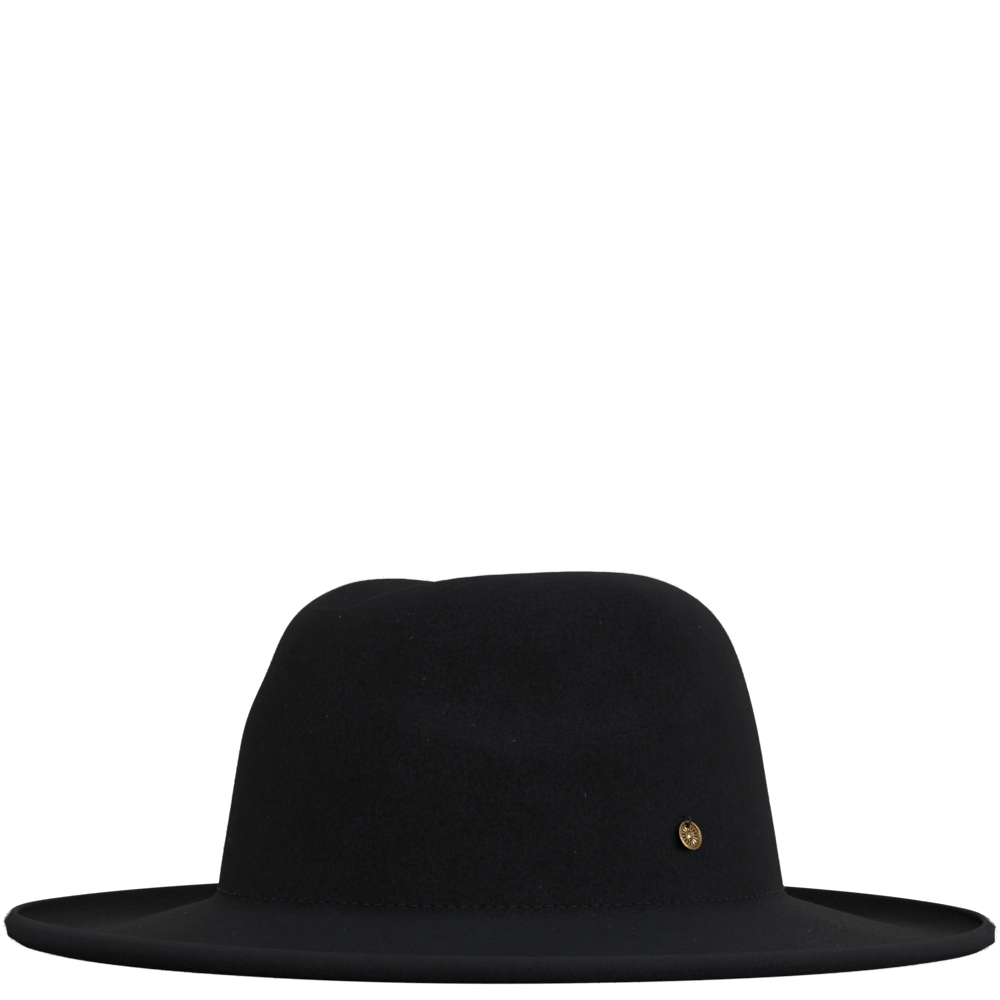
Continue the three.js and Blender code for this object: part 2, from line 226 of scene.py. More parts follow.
def dent_half_width(y):
    """Half the dent's width: a power of a half sine, so it narrows to the front and to the back."""
    t = np.clip((y + DENT_FORWARD) / DENT_LENGTH + 0.5, 0, 1)
    widening = np.clip(np.sin(np.pi * t**DENT_WIDTH_BIAS), 0, 1) ** DENT_WIDTH_POWER
    return DENT_WIDTH / 2 * (DENT_NARROW_SHARE + (1 - DENT_NARROW_SHARE) * widening)


def dent_depth(x, y):
    """Depth of the dent: the depth along its middle times a power of a cosine across it."""
    across = np.clip(np.abs(x) / dent_half_width(y), 0, 1)
    return DENT_DEPTH * dent_along(y) * ((1 + np.cos(np.pi * across)) / 2) ** DENT_SIDE_POWER


def crown_point(azimuth, height, reach):
    """Outside of the crown for height and reach as shares, with height^up + reach^out = 1.

    x and y are an oval times the reach, less the wall's lean and the pinch. z is the height less
    the top's fall and the dent."""
    along, side = np.cos(np.radians(azimuth)), np.sin(np.radians(azimuth))
    end_lean = np.where(along > 0, FRONT_LEAN, BACK_LEAN) / HALF_LENGTH
    lean = SIDE_LEAN / HALF_WIDTH * (1 - along**2) + end_lean * along**2
    radius = reach * (1 - lean * height) * (1 - pinch_share(azimuth, height * CROWN_HEIGHT))
    x, y = HALF_WIDTH * radius * side, -HALF_LENGTH * radius * along
    fall = top_fall(x, y) * height**SHOULDER_POWER_UP
    return joined(x, y - CROWN_FORWARD, BREAK_HEIGHT + CROWN_HEIGHT * height - fall - dent_depth(x, y))


def wall_point(azimuth, rise):
    """Outside of the crown's wall at a height above the break."""
    height = rise / CROWN_HEIGHT
    return crown_point(azimuth, height, (1 - height**SHOULDER_POWER_UP) ** (1 / SHOULDER_POWER_OUT))


def brim_point(azimuth, out, height):
    """Upper face of the brim: an oval that is a distance out from the break, at a height."""
    x = (HALF_WIDTH + out) * np.sin(np.radians(azimuth))
    y = -(HALF_LENGTH + out) * np.cos(np.radians(azimuth)) - CROWN_FORWARD * (1 - out / BRIM_WIDTH)
    return joined(x, y, height)


def curl_width(azimuth):
    """Width of the curl round the hat."""
    return CURL_WIDTH * round_the_hat(CURL_SHARES, azimuth)


def slope_end(azimuth):
    """Distance from the break to the resting ring."""
    return BRIM_WIDTH - curl_width(azimuth) - REST_WIDTH


def slope_point(azimuth, out):
    """Slope of the brim: its height runs out as a power of the share that is left."""
    left = np.clip(1 - out / slope_end(azimuth), 0, 1)
    return brim_point(azimuth, out, FELT + (BREAK_HEIGHT - FELT) * left**SLOPE_POWER)


def top_stretch(azimuth, share):
    """From the pole of the crown to its shoulder."""
    highest = (SHOULDER_HEIGHT / CROWN_HEIGHT) ** SHOULDER_POWER_UP
    reach = (1 - highest) ** (1 / SHOULDER_POWER_OUT) * share
    return crown_point(azimuth, (1 - reach**SHOULDER_POWER_OUT) ** (1 / SHOULDER_POWER_UP), reach)


def wall_stretch(azimuth, share):
    """From the shoulder down to the fillet of the break."""
    return wall_point(azimuth, SHOULDER_HEIGHT + (BREAK_FILLET - SHOULDER_HEIGHT) * share)


def break_stretch(azimuth, share):
    """A quadratic curve with the break as its corner."""
    azimuth, share = np.broadcast_arrays(azimuth, share)
    t = share[..., None]
    above = wall_point(azimuth, np.full_like(share, BREAK_FILLET))
    beyond = slope_point(azimuth, np.full_like(share, BREAK_FILLET))
    return (1 - t) ** 2 * above + 2 * t * (1 - t) * wall_point(azimuth, 0 * share) + t**2 * beyond


def slope_stretch(azimuth, share):
    """From the fillet of the break down to the resting ring."""
    return slope_point(azimuth, BREAK_FILLET + (slope_end(azimuth) - BREAK_FILLET) * share)


def rest_stretch(azimuth, share):
    """The flat ring on which the hat rests."""
    return brim_point(azimuth, slope_end(azimuth) + REST_WIDTH * share, FELT)


def curl_stretch(azimuth, share):
    """The curl: an arc of an ellipse, flat at its foot, that may turn past upright to the lip."""
    whole = np.radians(round_the_hat(CURL_TURNS, azimuth))
    out = np.sin(whole * share) / np.sin(np.minimum(whole, np.pi / 2))
    lip = LIP_HEIGHT * round_the_hat(LIP_SHARES, azimuth)
    rise = (1 - np.cos(whole * share)) / (1 - np.cos(whole))
    return brim_point(azimuth, BRIM_WIDTH - curl_width(azimuth) * (1 - out), FELT + (lip - FELT) * rise)


def lip_back(azimuth, share):
    """The outer side of the curl, from the lip's edge down to the curl's foot."""
    inner = 1 - share
    return curl_stretch(azimuth, inner) - FELT * normal_of(curl_stretch, azimuth, inner)


def lip_crest(azimuth, share):
    """The part of the outer side next to the lip's edge."""
    return lip_back(azimuth, 0.22 * share)


def normal_of(stretch, azimuth, share):
    """Outward normal: the cross product of two small steps on the surface."""
    step = 1e-3
    down = stretch(azimuth, np.minimum(share + step, 1)) - stretch(azimuth, np.maximum(share - step, 0))
    round_it = stretch(azimuth + step, share) - stretch(azimuth - step, share)
    normal = np.cross(down, round_it)
    return normal / np.linalg.norm(normal, axis=-1, keepdims=True)


def ring_azimuths(count):
    """Equal steps of azimuth as a row."""
    return np.linspace(0, 360, count, endpoint=False)[None, :]


def foot_lengths():
    """Azimuths round the hat, and the length of the row of stitches from the front up to each."""
    azimuth = np.linspace(0, 360, FOOT_STEPS + 1)
    foot = break_stretch(azimuth, np.full_like(azimuth, STITCH_SHARE))
    steps = np.linalg.norm(np.diff(foot, axis=0), axis=-1)
    return azimuth, np.concatenate([[0], np.cumsum(steps)])


def distance_round(azimuth):
    """Share of the way round the crown's foot, by length, up to an azimuth."""
    steps, length = foot_lengths()
    return np.interp(azimuth, steps, length / length[-1])


def azimuth_at(distance):
    """The azimuth at a share of the way round the crown's foot."""
    steps, length = foot_lengths()
    return np.interp(distance, length / length[-1], steps)


def stitch_height():
    """Height of the row of stitches."""
    return float(break_stretch(np.zeros(1), np.full(1, STITCH_SHARE))[0, 2])


# Meshes


def grid_faces(rows, columns, close_rows=False, close_columns=True):
    """Four-sided faces of a grid of points, row by row, closed along either way if asked."""
    row, column = np.meshgrid(
        np.arange(rows if close_rows else rows - 1),
        np.arange(columns if close_columns else columns - 1),
        indexing="ij",
    )
    below, beside = (row + 1) % rows, (column + 1) % columns
    here, under = row * columns, below * columns
    return np.stack([here + column, under + column, under + beside, here + beside], -1).reshape(-1, 4)


def poled_faces(rows, columns):
    """Faces of rings of points closed by a point at each end: four-sided ones, and triangles.

    The two end points come after the rings, the first ring's before the last ring's."""
    column = np.arange(columns)
    beside = (column + 1) % columns
    pole, last = rows * columns, (rows - 1) * columns
    first_end = np.stack([np.full(columns, pole), column, beside], -1)
    last_end = np.stack([last + column, np.full(columns, pole + 1), last + beside], -1)
    return grid_faces(rows, columns), np.concatenate([first_end, last_end])


def new_piece(name, points, faces, finish, maps=None):
    """A smooth mesh object from points in millimetres and lists of faces, riding on the hat.

    Each map has a pair of values for each corner of each face, in the order of the faces."""
    mesh = bpy.data.meshes.new(name)
    mesh.from_pydata(np.asarray(points, float) * MM, [], faces)
    mesh.polygons.foreach_set("use_smooth", np.ones(len(mesh.polygons), bool))
    for map_name, pairs in (maps or {}).items():
        layer = mesh.uv_layers.new(name=map_name)
        layer.data.foreach_set("uv", np.asarray(pairs, np.float32).ravel())
    mesh.materials.append(finish)
    mesh.update()
    piece = bpy.data.objects.new(name, mesh)
    bpy.context.scene.collection.objects.link(piece)
    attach(piece, "root")
    return piece


# Finishes


def new_material(name):
    """A material, its node tree and its Principled BSDF."""
    material = bpy.data.materials.new(name)
    material.use_nodes = True
    tree = material.node_tree
    return material, tree, tree.nodes["Principled BSDF"]


def add(tree, kind, values=None, **settings):
    """Adds a node, sets its properties and gives its inputs plain values or links."""
    node = tree.nodes.new(kind)
    for key, value in settings.items():
        setattr(node, key, value)
    for key, value in (values or {}).items():
        if isinstance(value, bpy.types.NodeSocket):
            tree.links.new(value, node.inputs[key])
        else:
            node.inputs[key].default_value = value
    return node


def ramp(tree, value, stops):
    """A Color Ramp of grey or colour stops."""
    node = add(tree, "ShaderNodeValToRGB", {"Fac": value})
    elements = node.color_ramp.elements
    while len(elements) < len(stops):
        elements.new(0.5)
    for element, (place, colour) in zip(elements, stops):
        element.position = place
        element.color = (*colour, 1) if isinstance(colour, tuple) else (colour, colour, colour, 1)
    return node.outputs["Color"]


def mix_colours(tree, blend, factor, first, second):
    """A Mix of two colours; the factor and the second colour are values or links."""
    mix = add(tree, "ShaderNodeMix", {"Factor": factor}, data_type="RGBA", blend_type=blend)
    colours = [socket for socket in mix.inputs if socket.type == "RGBA"]
    tree.links.new(first, colours[0])
    if isinstance(second, bpy.types.NodeSocket):
        tree.links.new(second, colours[1])
    else:
        colours[1].default_value = (*second, 1)
    return next(socket for socket in mix.outputs if socket.type == "RGBA")


def multiplied(tree, first, second):
    """The product of two colours."""
    return mix_colours(tree, "MULTIPLY", 1.0, first, second)


def mixed(tree, share, first, second):
    """The first colour with a share of the second."""
    return mix_colours(tree, "MIX", share, first, second)


def calculated(tree, operation, *values):
    """A sum, product or other result of values or links."""
    return add(tree, "ShaderNodeMath", dict(enumerate(values)), operation=operation).outputs[0]


def map_values(tree, name):
    """The two values of a map, as the outputs X and Y."""
    uv = add(tree, "ShaderNodeUVMap", uv_map=name).outputs[0]
    return add(tree, "ShaderNodeSeparateXYZ", {0: uv}).outputs


def noise_value(tree, place, scale, detail, **inputs):
    """Noise on a vector, 0 to 1."""
    values = {"Vector": place, "Scale": scale, "Detail": detail, **inputs}
    return add(tree, "ShaderNodeTexNoise", values).outputs["Fac"]


def add_bump(tree, shader, height, strength, distance):
    """Gives the shader a bumped normal."""
    values = {"Height": height, "Strength": strength, "Distance": distance}
    tree.links.new(add(tree, "ShaderNodeBump", values).outputs[0], shader.inputs["Normal"])


def fibre_group():
    """Matted wool: a height and a tone from stretched noise in three directions and a fine grain."""
    group = bpy.data.node_groups.new("matted_wool", "ShaderNodeTree")
    group.interface.new_socket("Vector", in_out="INPUT", socket_type="NodeSocketVector")
    scale = group.interface.new_socket("Fibres per metre", in_out="INPUT", socket_type="NodeSocketFloat")
    scale.default_value = 900
    for name in ("Height", "Tone", "Cloud"):
        group.interface.new_socket(name, in_out="OUTPUT", socket_type="NodeSocketFloat")
    place, density = add(group, "NodeGroupInput").outputs[:2]
    hairs = []
    for turn in ((0.3, 0.9, 0.2), (1.3, -0.4, 1.1), (-0.7, 0.5, 2.2)):
        stretched = {"Vector": place, "Rotation": turn, "Scale": (1.0, 0.22, 1.0)}
        turned = add(group, "ShaderNodeMapping", stretched).outputs[0]
        noise = noise_value(group, turned, density, 3.0, Roughness=0.62, Distortion=0.6)
        hairs.append(calculated(group, "ABSOLUTE", calculated(group, "SUBTRACT", noise, 0.5)))
    nearest = calculated(group, "MINIMUM", calculated(group, "MINIMUM", hairs[0], hairs[1]), hairs[2])
    ridge = {"Value": nearest, "From Max": 0.09, "To Min": 1.0, "To Max": 0.0}
    strands = add(group, "ShaderNodeMapRange", ridge).outputs[0]
    clumps = noise_value(group, place, 900.0, 3.0, Roughness=0.75)
    cloud = noise_value(group, place, 38.0, 5.0, Roughness=0.78)
    weighted = calculated(group, "MULTIPLY", strands, 0.45)
    height = calculated(group, "MULTIPLY_ADD", clumps, 0.55, weighted)
    add(group, "NodeGroupOutput", {"Height": height, "Tone": clumps, "Cloud": cloud})
    return group


matted_wool = fibre_group()


def felt_finish(name, dark, light, painted_highlight):
    """Black wool felt: mottled tone, matted fibres as bump, a soft sheen from its nap.

    Needle holes and a faint pull show along the row of stitches, and a paler painted highlight lies on the
    lip's crest and the dent's ridges."""
    material, tree, shader = new_material(name)
    place = add(tree, "ShaderNodeTexCoord").outputs["Object"]
    values = {"Vector": place, "Fibres per metre": 1100.0}
    wool = add(tree, "ShaderNodeGroup", values, node_tree=matted_wool)
    tone = ramp(tree, wool.outputs["Tone"], ((0.36, dark), (0.66, light)))
    shade = ramp(tree, wool.outputs["Cloud"], ((0.36, 0.66), (0.64, 1.0)))
    # felt_map: u counts stitches round the hat, v is millimetres above the row of stitches
    stitch, above = map_values(tree, "felt_map")[:2]
    wave = calculated(tree, "COSINE", calculated(tree, "MULTIPLY", stitch, 2 * np.pi))
    gap = add(tree, "ShaderNodeMapRange", {"Value": wave, "From Min": 0.2, "From Max": 0.9}).outputs[0]
    fade = {"Value": calculated(tree, "ABSOLUTE", above), "From Max": 0.75, "To Min": 1.0, "To Max": 0.0}
    row = add(tree, "ShaderNodeMapRange", fade).outputs[0]
    hole = calculated(tree, "MULTIPLY", gap, row)
    kept = calculated(tree, "MULTIPLY_ADD", hole, -0.75, 1.0)
    height = calculated(tree, "MULTIPLY_ADD", row, -0.6, wool.outputs["Height"])
    # The second map's u is the share of paler colour painted along the lip's crest and the dent's ridges as
    # a highlight
    paler = calculated(tree, "MULTIPLY", map_values(tree, "painted_highlight_map")["X"], 0.8)
    colour = mixed(tree, paler, multiplied(tree, multiplied(tree, tone, shade), kept), painted_highlight)
    tree.links.new(colour, shader.inputs["Base Color"])
    add_bump(tree, shader, height, 0.9, 0.0005)
    shader.inputs["Roughness"].default_value = 1.0
    shader.inputs["Specular IOR Level"].default_value = 0.12
    shader.inputs["Sheen Weight"].default_value = 0.04
    shader.inputs["Sheen Roughness"].default_value = 0.55
    shader.inputs["Sheen Tint"].default_value = (0.86, 0.93, 1.0, 1)
    return material


def plain_fibre_finish(name, colour):
    """Single wool fibres: their tone changes along and between them."""
    material, tree, shader = new_material(name)
    place = add(tree, "ShaderNodeTexCoord").outputs["Object"]
    noise = noise_value(tree, place, 700.0, 2.0)
    dark = tuple(0.55 * c for c in colour)
    tree.links.new(ramp(tree, noise, ((0.35, dark), (0.65, colour))), shader.inputs["Base Color"])
    shader.inputs["Roughness"].default_value = 0.7
    shader.inputs["Specular IOR Level"].default_value = 0.25
    return material


def thread_finish(name, colour, gloss):
    """Sewing thread: fine filaments as bump, a soft gloss."""
    material, tree, shader = new_material(name)
    place = add(tree, "ShaderNodeTexCoord").outputs["Object"]
    noise = noise_value(tree, place, 4200.0, 2.0)
    dark = tuple(0.6 * c for c in colour)
    tree.links.new(ramp(tree, noise, ((0.35, dark), (0.65, colour))), shader.inputs["Base Color"])
    add_bump(tree, shader, noise, 0.5, 0.0001)
    shader.inputs["Roughness"].default_value = 0.5
    shader.inputs["Specular IOR Level"].default_value = gloss
    return material


def ribbon_finish():
    """Grosgrain ribbon: fine threads across the ribs, a soft gloss on their tops."""
    material, tree, shader = new_material("ribbon")
    place = add(tree, "ShaderNodeTexCoord").outputs["Object"]
    weave = {"Vector": place, "Scale": 900.0, "Distortion": 1.2, "Detail": 1.0}
    wave = add(tree, "ShaderNodeTexWave", weave, bands_direction="Z")
    noise = noise_value(tree, place, 1500.0, 3.0)
    tone = ramp(tree, noise, ((0.3, (0.007, 0.007, 0.008)), (0.7, (0.016, 0.016, 0.018))))
    tree.links.new(tone, shader.inputs["Base Color"])
    add_bump(tree, shader, wave.outputs["Fac"], 0.4, 0.0001)
    shader.inputs["Roughness"].default_value = 0.55
    shader.inputs["Sheen Weight"].default_value = 0.15
    return material


def gold_finish():
    """Pale gold plating: polished where it is raised, with a faint satin grain and a brown patina in
    its recesses."""
    material, tree, shader = new_material("pale_gold")
    place = add(tree, "ShaderNodeTexCoord").outputs["Object"]
    grain = noise_value(tree, place, 3500.0, 4.0)
    cloud = noise_value(tree, place, 300.0, 2.0)
    tone = ramp(tree, cloud, ((0.3, (0.60, 0.38, 0.17)), (0.7, (0.76, 0.53, 0.27))))
    # relief_map: u is millimetres above the badge's field
    above = map_values(tree, "relief_map")["X"]
    patina = ramp(tree, above, ((0.03, (0.10, 0.062, 0.028)), (0.15, (1.0, 1.0, 1.0))))
    tone = multiplied(tree, tone, patina)
    rough = add(tree, "ShaderNodeMapRange", {"Value": grain, "To Min": 0.16, "To Max": 0.34})
    tree.links.new(tone, shader.inputs["Base Color"])
    tree.links.new(rough.outputs[0], shader.inputs["Roughness"])
    add_bump(tree, shader, grain, 0.12, 0.0001)
    shader.inputs["Metallic"].default_value = 1.0
    return material


FELT_DARK = (0.0061, 0.0064, 0.0072)
FELT_LIGHT = (0.0208, 0.0216, 0.0246)
# Paler colour painted along the lip's crest and the dent's ridges as a highlight
FELT_PAINTED_HIGHLIGHT = (0.042, 0.043, 0.047)
felt_material = felt_finish("felt", FELT_DARK, FELT_LIGHT, FELT_PAINTED_HIGHLIGHT)
nap_material = plain_fibre_finish("felt_nap", (0.020, 0.021, 0.0235))
# Paler nap fibres: paler fuzz over the brim, and on the lip's crest a painted highlight
pale_and_highlight_nap_material = plain_fibre_finish("pale_and_highlight_nap", (0.045, 0.046, 0.049))
lint_material = plain_fibre_finish("pale_lint", (0.34, 0.35, 0.36))
thread_material = thread_finish("thread", (0.031, 0.032, 0.036), 0.1)
loop_material = thread_finish("badge_thread", (0.020, 0.020, 0.021), 0.4)
ribbon_material = ribbon_finish()
gold_material = gold_finish()


# Felt hood

# Each stretch: its function, its steps outside and inside
STRETCHES = (
    (top_stretch, 60, 20),
    (wall_stretch, 60, 16),
    (break_stretch, 9, 5),
    (slope_stretch, 26, 8),
    (rest_stretch, 3, 2),
    (curl_stretch, 13, 5),
)
HOOD_COLUMNS = 400
EDGE_ANGLES = (25.0, 50.0, 75.0, 100.0, 125.0, 150.0)

# Crease that runs down from the lower end of each pinch: height above the break, and azimuth
CREASE_TOP, CREASE_FOOT = 58.0, 25.0
CREASE_AZIMUTH_TOP, CREASE_AZIMUTH_FOOT = 54.0, 69.5
CREASE_SLANT = 45.0
CREASE_HEIGHT = 0.7
CREASE_SPREAD = 2.4

# Shallow hollow beside each crease, in the same measures
HOLLOW_AZIMUTH, HOLLOW_HEIGHT = 74.0, 38.0
HOLLOW_SPREAD = 9.5
HOLLOW_DEPTH = 1.1

# Unevenness left by the hand, as a root mean square, and its share on the ring and the curl
UNEVENNESS = 0.16
RING_SHARE = 0.35

# How far a paler painted highlight reaches on both sides of the lip's crest and along the dent's ridges
HIGHLIGHT_INNER_SPREAD = 1.2
HIGHLIGHT_OUTER_SPREAD = 5.0
HIGHLIGHT_RIDGE_SPREAD = 0.8
HIGHLIGHT_LIP_SHARE = 0.6

# Value of the felt's map on the inside, where no stitch shows
FAR_FROM_STITCHES = 50.0


def unevenness(points):
    """Hand-shaped unevenness: a scaled sum of ten sine waves 25 to 70 mm long in chance directions."""
    chance = np.random.default_rng(11)
    ways = chance.normal(size=(10, 3))
    ways /= np.linalg.norm(ways, axis=1, keepdims=True)
    ways *= 2 * np.pi / chance.uniform(25, 70, (10, 1))
    phases = chance.uniform(0, 2 * np.pi, 10)
    return UNEVENNESS * np.sin(points @ ways.T + phases).sum(-1) / np.sqrt(5)


def crease(azimuth, height):
    """A low ridge with a shallow hollow behind it.

    The ridge is a bell across a straight line in azimuth and height that rises and falls along
    it, and the hollow is a round bell."""
    side = np.abs(np.mod(azimuth + 180, 360) - 180)
    share = (height - CREASE_FOOT) / (CREASE_TOP - CREASE_FOOT)
    line = CREASE_AZIMUTH_FOOT + (CREASE_AZIMUTH_TOP - CREASE_AZIMUTH_FOOT) * share
    across = np.radians(side - line) * MEAN_RADIUS * np.cos(np.radians(CREASE_SLANT))
    ridge = CREASE_HEIGHT * np.sin(np.pi * np.clip(share, 0, 1)) * bell(across, CREASE_SPREAD)
    aside = np.radians(side - HOLLOW_AZIMUTH) * MEAN_RADIUS
    return ridge - HOLLOW_DEPTH * bell(np.hypot(aside, height - HOLLOW_HEIGHT), HOLLOW_SPREAD)


def relief(stretch, azimuth, share, points):
    """How far the outside stands off its plain form: unevenness everywhere, the crease on the wall."""
    if stretch in (lip_back, lip_crest):
        return np.zeros(points.shape[:-1])
    lift = unevenness(points)
    if stretch is wall_stretch:
        lift = lift + crease(azimuth, points[..., 2] - BREAK_HEIGHT)
    if stretch in (rest_stretch, curl_stretch):
        lift = RING_SHARE * lift
    if stretch is slope_stretch:
        lift = lift * (1 - (1 - RING_SHARE) * smoothstep(0.7, 1, share))
    return lift


def hood_rings():
    """Rings of the hood from the pole down the outside, round the edge and back up the inside."""
    azimuth = ring_azimuths(HOOD_COLUMNS)
    outside, inside = [], []
    for stretch, steps_out, steps_in in STRETCHES:
        share = np.linspace(0, 1, steps_out + 1)[1:, None]
        plain = stretch(azimuth, share)
        normal = normal_of(stretch, azimuth, share)
        outside.append(plain + normal * relief(stretch, azimuth, share, plain)[..., None])
        share = np.linspace(0, 1, steps_in + 1)[1:, None]
        inside.insert(0, (stretch(azimuth, share) - FELT * normal_of(stretch, azimuth, share))[::-1])
    lip = curl_stretch(azimuth, np.ones((1, 1)))
    up = normal_of(curl_stretch, azimuth, np.ones((1, 1)))
    along = curl_stretch(azimuth + 1, np.ones((1, 1))) - curl_stretch(azimuth - 1, np.ones((1, 1)))
    out = np.cross(along / np.linalg.norm(along, axis=-1, keepdims=True), up)
    angles = np.radians(EDGE_ANGLES)[:, None, None]
    edge = lip - FELT / 2 * up + FELT / 2 * (np.cos(angles) * up + np.sin(angles) * out)
    return np.concatenate([*outside, edge, *inside])


def hood():
    """The felt hood as one closed surface, with a single point at each pole."""
    rings = hood_rings()
    rows, columns = rings.shape[:2]
    pole = top_stretch(np.zeros(1), np.zeros(1))
    points = np.concatenate([rings.reshape(-1, 3), pole, pole - [0, 0, FELT]])
    quads, triangles = poled_faces(rows, columns)
    poles = np.full((triangles.size, 2), FAR_FROM_STITCHES)
    # Share of the paler painted highlight at each corner of the faces: the lip's crest and the dent's
    # ridges
    painted_highlight = np.concatenate([painted_highlight_share(rings).ravel(), [0, 0]])
    painted_highlight = painted_highlight[np.concatenate([quads.ravel(), triangles.ravel()])]
    maps = {
        "felt_map": np.concatenate([stitch_map(rings), poles]),
        "painted_highlight_map": np.stack([painted_highlight, 0 * painted_highlight], -1),
    }
    faces = quads.tolist() + triangles.tolist()
    return new_piece("felt_hood", points, faces, felt_material, maps)


def stitch_map(rings):
    """The corners of the rings' faces: u counts stitches, v is the height above their row.

    The inside has one value, far from the row."""
    rows, columns = rings.shape[:2]
    turn = distance_round(np.arange(columns + 1) / columns * 360) * STITCH_COUNT
    outside_rows = sum(steps for _, steps, _ in STRETCHES)
    outside = np.arange(rows)[:, None] < outside_rows
    height = np.where(outside, rings[..., 2] - stitch_height(), FAR_FROM_STITCHES)
    row = np.repeat(np.arange(rows - 1), columns)
    column = np.tile(np.arange(columns), rows - 1)
    beside = (column + 1) % columns
    corners = [
        joined(turn[column], height[row, column]),
        joined(turn[column], height[row + 1, column]),
        joined(turn[column + 1], height[row + 1, beside]),
        joined(turn[column + 1], height[row, beside]),
    ]
    return np.stack(corners, 1).reshape(-1, 2)


def painted_highlight_share(rings):
    """Share of a paler painted highlight, 0 to 1, at the rings' points: along the lip's crest and along the
    dent's ridges.

    It is a bell of the distance from the highest point of the lip's rings, and on the top a bell
    of the distance from the dent's border, times the dent's depth along it."""
    first = sum(steps for _, steps, _ in STRETCHES[:-1])
    last = first + STRETCHES[-1][1] + len(EDGE_ANGLES) + STRETCHES[-1][2]
    lip = rings[first:last]
    step = np.linalg.norm(np.diff(lip, axis=0), axis=-1)
    length = np.concatenate([np.zeros((1, lip.shape[1])), np.cumsum(step, axis=0)])
    highest = np.take_along_axis(length, lip[..., 2].argmax(axis=0)[None], axis=0)
    painted_highlight = np.zeros(rings.shape[:2])
    beyond = length - highest
    spread = np.where(beyond < 0, HIGHLIGHT_INNER_SPREAD, HIGHLIGHT_OUTER_SPREAD)
    painted_highlight[first:last] = HIGHLIGHT_LIP_SHARE * bell(beyond, spread)
    top = rings[: STRETCHES[0][1]]
    x, y = top[..., 0], top[..., 1] + CROWN_FORWARD
    border = np.abs(x) - dent_half_width(y)
    painted_highlight[: len(top)] = bell(border, HIGHLIGHT_RIDGE_SPREAD) * dent_along(y)
    return painted_highlight


felt_hood = hood()
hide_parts("felt_body")


# Threads

PLIES = 3


def twisted(middle, side, out, radius, plies, turns, around):
    """A twisted thread along paths of points, as a grid of rings.

    The ring's radius is that of a circle with one lobe for each ply, and the lobes turn along
    the path: r (0.84 + 0.16 |cos(plies/2 (angle - twist))|)."""
    steps = middle.shape[-2]
    angle = np.linspace(0, 2 * np.pi, around, endpoint=False)
    twist = np.linspace(0, 2 * np.pi * turns, steps)[:, None]
    ring = radius[..., None] * (0.84 + 0.16 * np.abs(np.cos(plies / 2 * (angle - twist))))
    return (
        middle[..., None, :]
        + ring[..., None] * np.cos(angle)[:, None] * out[..., None, :]
        + ring[..., None] * np.sin(angle)[:, None] * side[..., None, :]
    )


def stitches():
    """Running stitches: each an arc that rises out of the felt and dips back into it.

    Height above the felt is a flat-topped arch, 1 - |s|^4 for s from -1 to 1."""
    steps, around = 14, 10
    s = np.linspace(-1, 1, steps)
    chance = np.random.default_rng(5)
    centre = (np.arange(STITCH_COUNT) + 0.5) / STITCH_COUNT
    length = STITCH_LENGTH * chance.uniform(0.92, 1.08, (STITCH_COUNT, 1))
    girth = foot_lengths()[1][-1]
    azimuth = azimuth_at(np.mod(centre[:, None] + s * length / 2 / girth, 1))
    shift = chance.uniform(-0.03, 0.03, (STITCH_COUNT, 1))
    slant = chance.uniform(-0.03, 0.03, (STITCH_COUNT, 1))
    share = STITCH_SHARE + shift + slant * s
    plain = break_stretch(azimuth, share)
    out = normal_of(break_stretch, azimuth, share)
    along = np.gradient(plain, axis=1)
    along /= np.linalg.norm(along, axis=-1, keepdims=True)
    side = np.cross(along, out)
    rise = -0.55 + 0.72 * (1 - np.abs(s) ** 4)
    middle = plain + out * rise[:, None]
    taper = np.clip((1.02 - np.abs(s)) / 0.12, 0.05, 1)
    radius = np.broadcast_to(STITCH_RADIUS * taper, azimuth.shape)
    rings = twisted(middle, side, out, radius, PLIES, 1.6, around)
    tips = np.stack([middle[:, 0], middle[:, -1]], 1)
    points = np.concatenate([rings.reshape(STITCH_COUNT, -1, 3), tips], 1)
    quads, triangles = poled_faces(steps, around)
    start = np.arange(STITCH_COUNT)[:, None, None] * points.shape[1]
    faces = (quads + start).reshape(-1, 4).tolist() + (triangles + start).reshape(-1, 3).tolist()
    return new_piece("crown_stitches", points.reshape(-1, 3), faces, thread_material)


crown_stitches = stitches()


# Badge


def below_badge(azimuth, share):
    """The wall from the badge's seat down to the break."""
    return wall_point(azimuth, BADGE_HEIGHT * (1 - share))


def seat_axes():
    """The badge's seat on the wall: its place and its axes along the wall, up the wall and out."""
    azimuth = np.full(1, BADGE_AZIMUTH)
    out = normal_of(below_badge, azimuth, np.zeros(1))[0]
    along = np.cross([0, 0, 1], out)
    along /= np.linalg.norm(along)
    return wall_point(azimuth, np.full(1, BADGE_HEIGHT))[0], np.stack([along, np.cross(out, along), out])


seat_place, seat_frame = seat_axes()
tilt = np.radians(BADGE_TILT)


def on_seat(points):
    """Points in the seat's frame put on the wall."""
    return points @ seat_frame + seat_place


def tilted(points):
    """Points of the badge turned about its upper edge, which lies a clearance off the wall."""
    x, y, z = points[..., 0], points[..., 1], points[..., 2]
    lift = CLEARANCE + BADGE_RADIUS * np.sin(tilt)
    return joined(x, y * np.cos(tilt) + z * np.sin(tilt), z * np.cos(tilt) - y * np.sin(tilt) + lift)


# Relief on the badge's field, in its radii and heights
BEADS, BEAD_RADIUS, BEAD_SPREAD, BEAD_HEIGHT = 44, 3.75, 0.16, 0.16
FLUTES, FLUTE_START, FLUTE_END, FLUTE_FADE, FLUTE_HEIGHT = 16, 1.7, 3.5, 0.3, 0.16
RING_RADIUS, RING_SPREAD, RING_HEIGHT = 1.55, 0.14, 0.22
BUTTON_RADIUS, BUTTON_HEIGHT = 1.2, 0.34


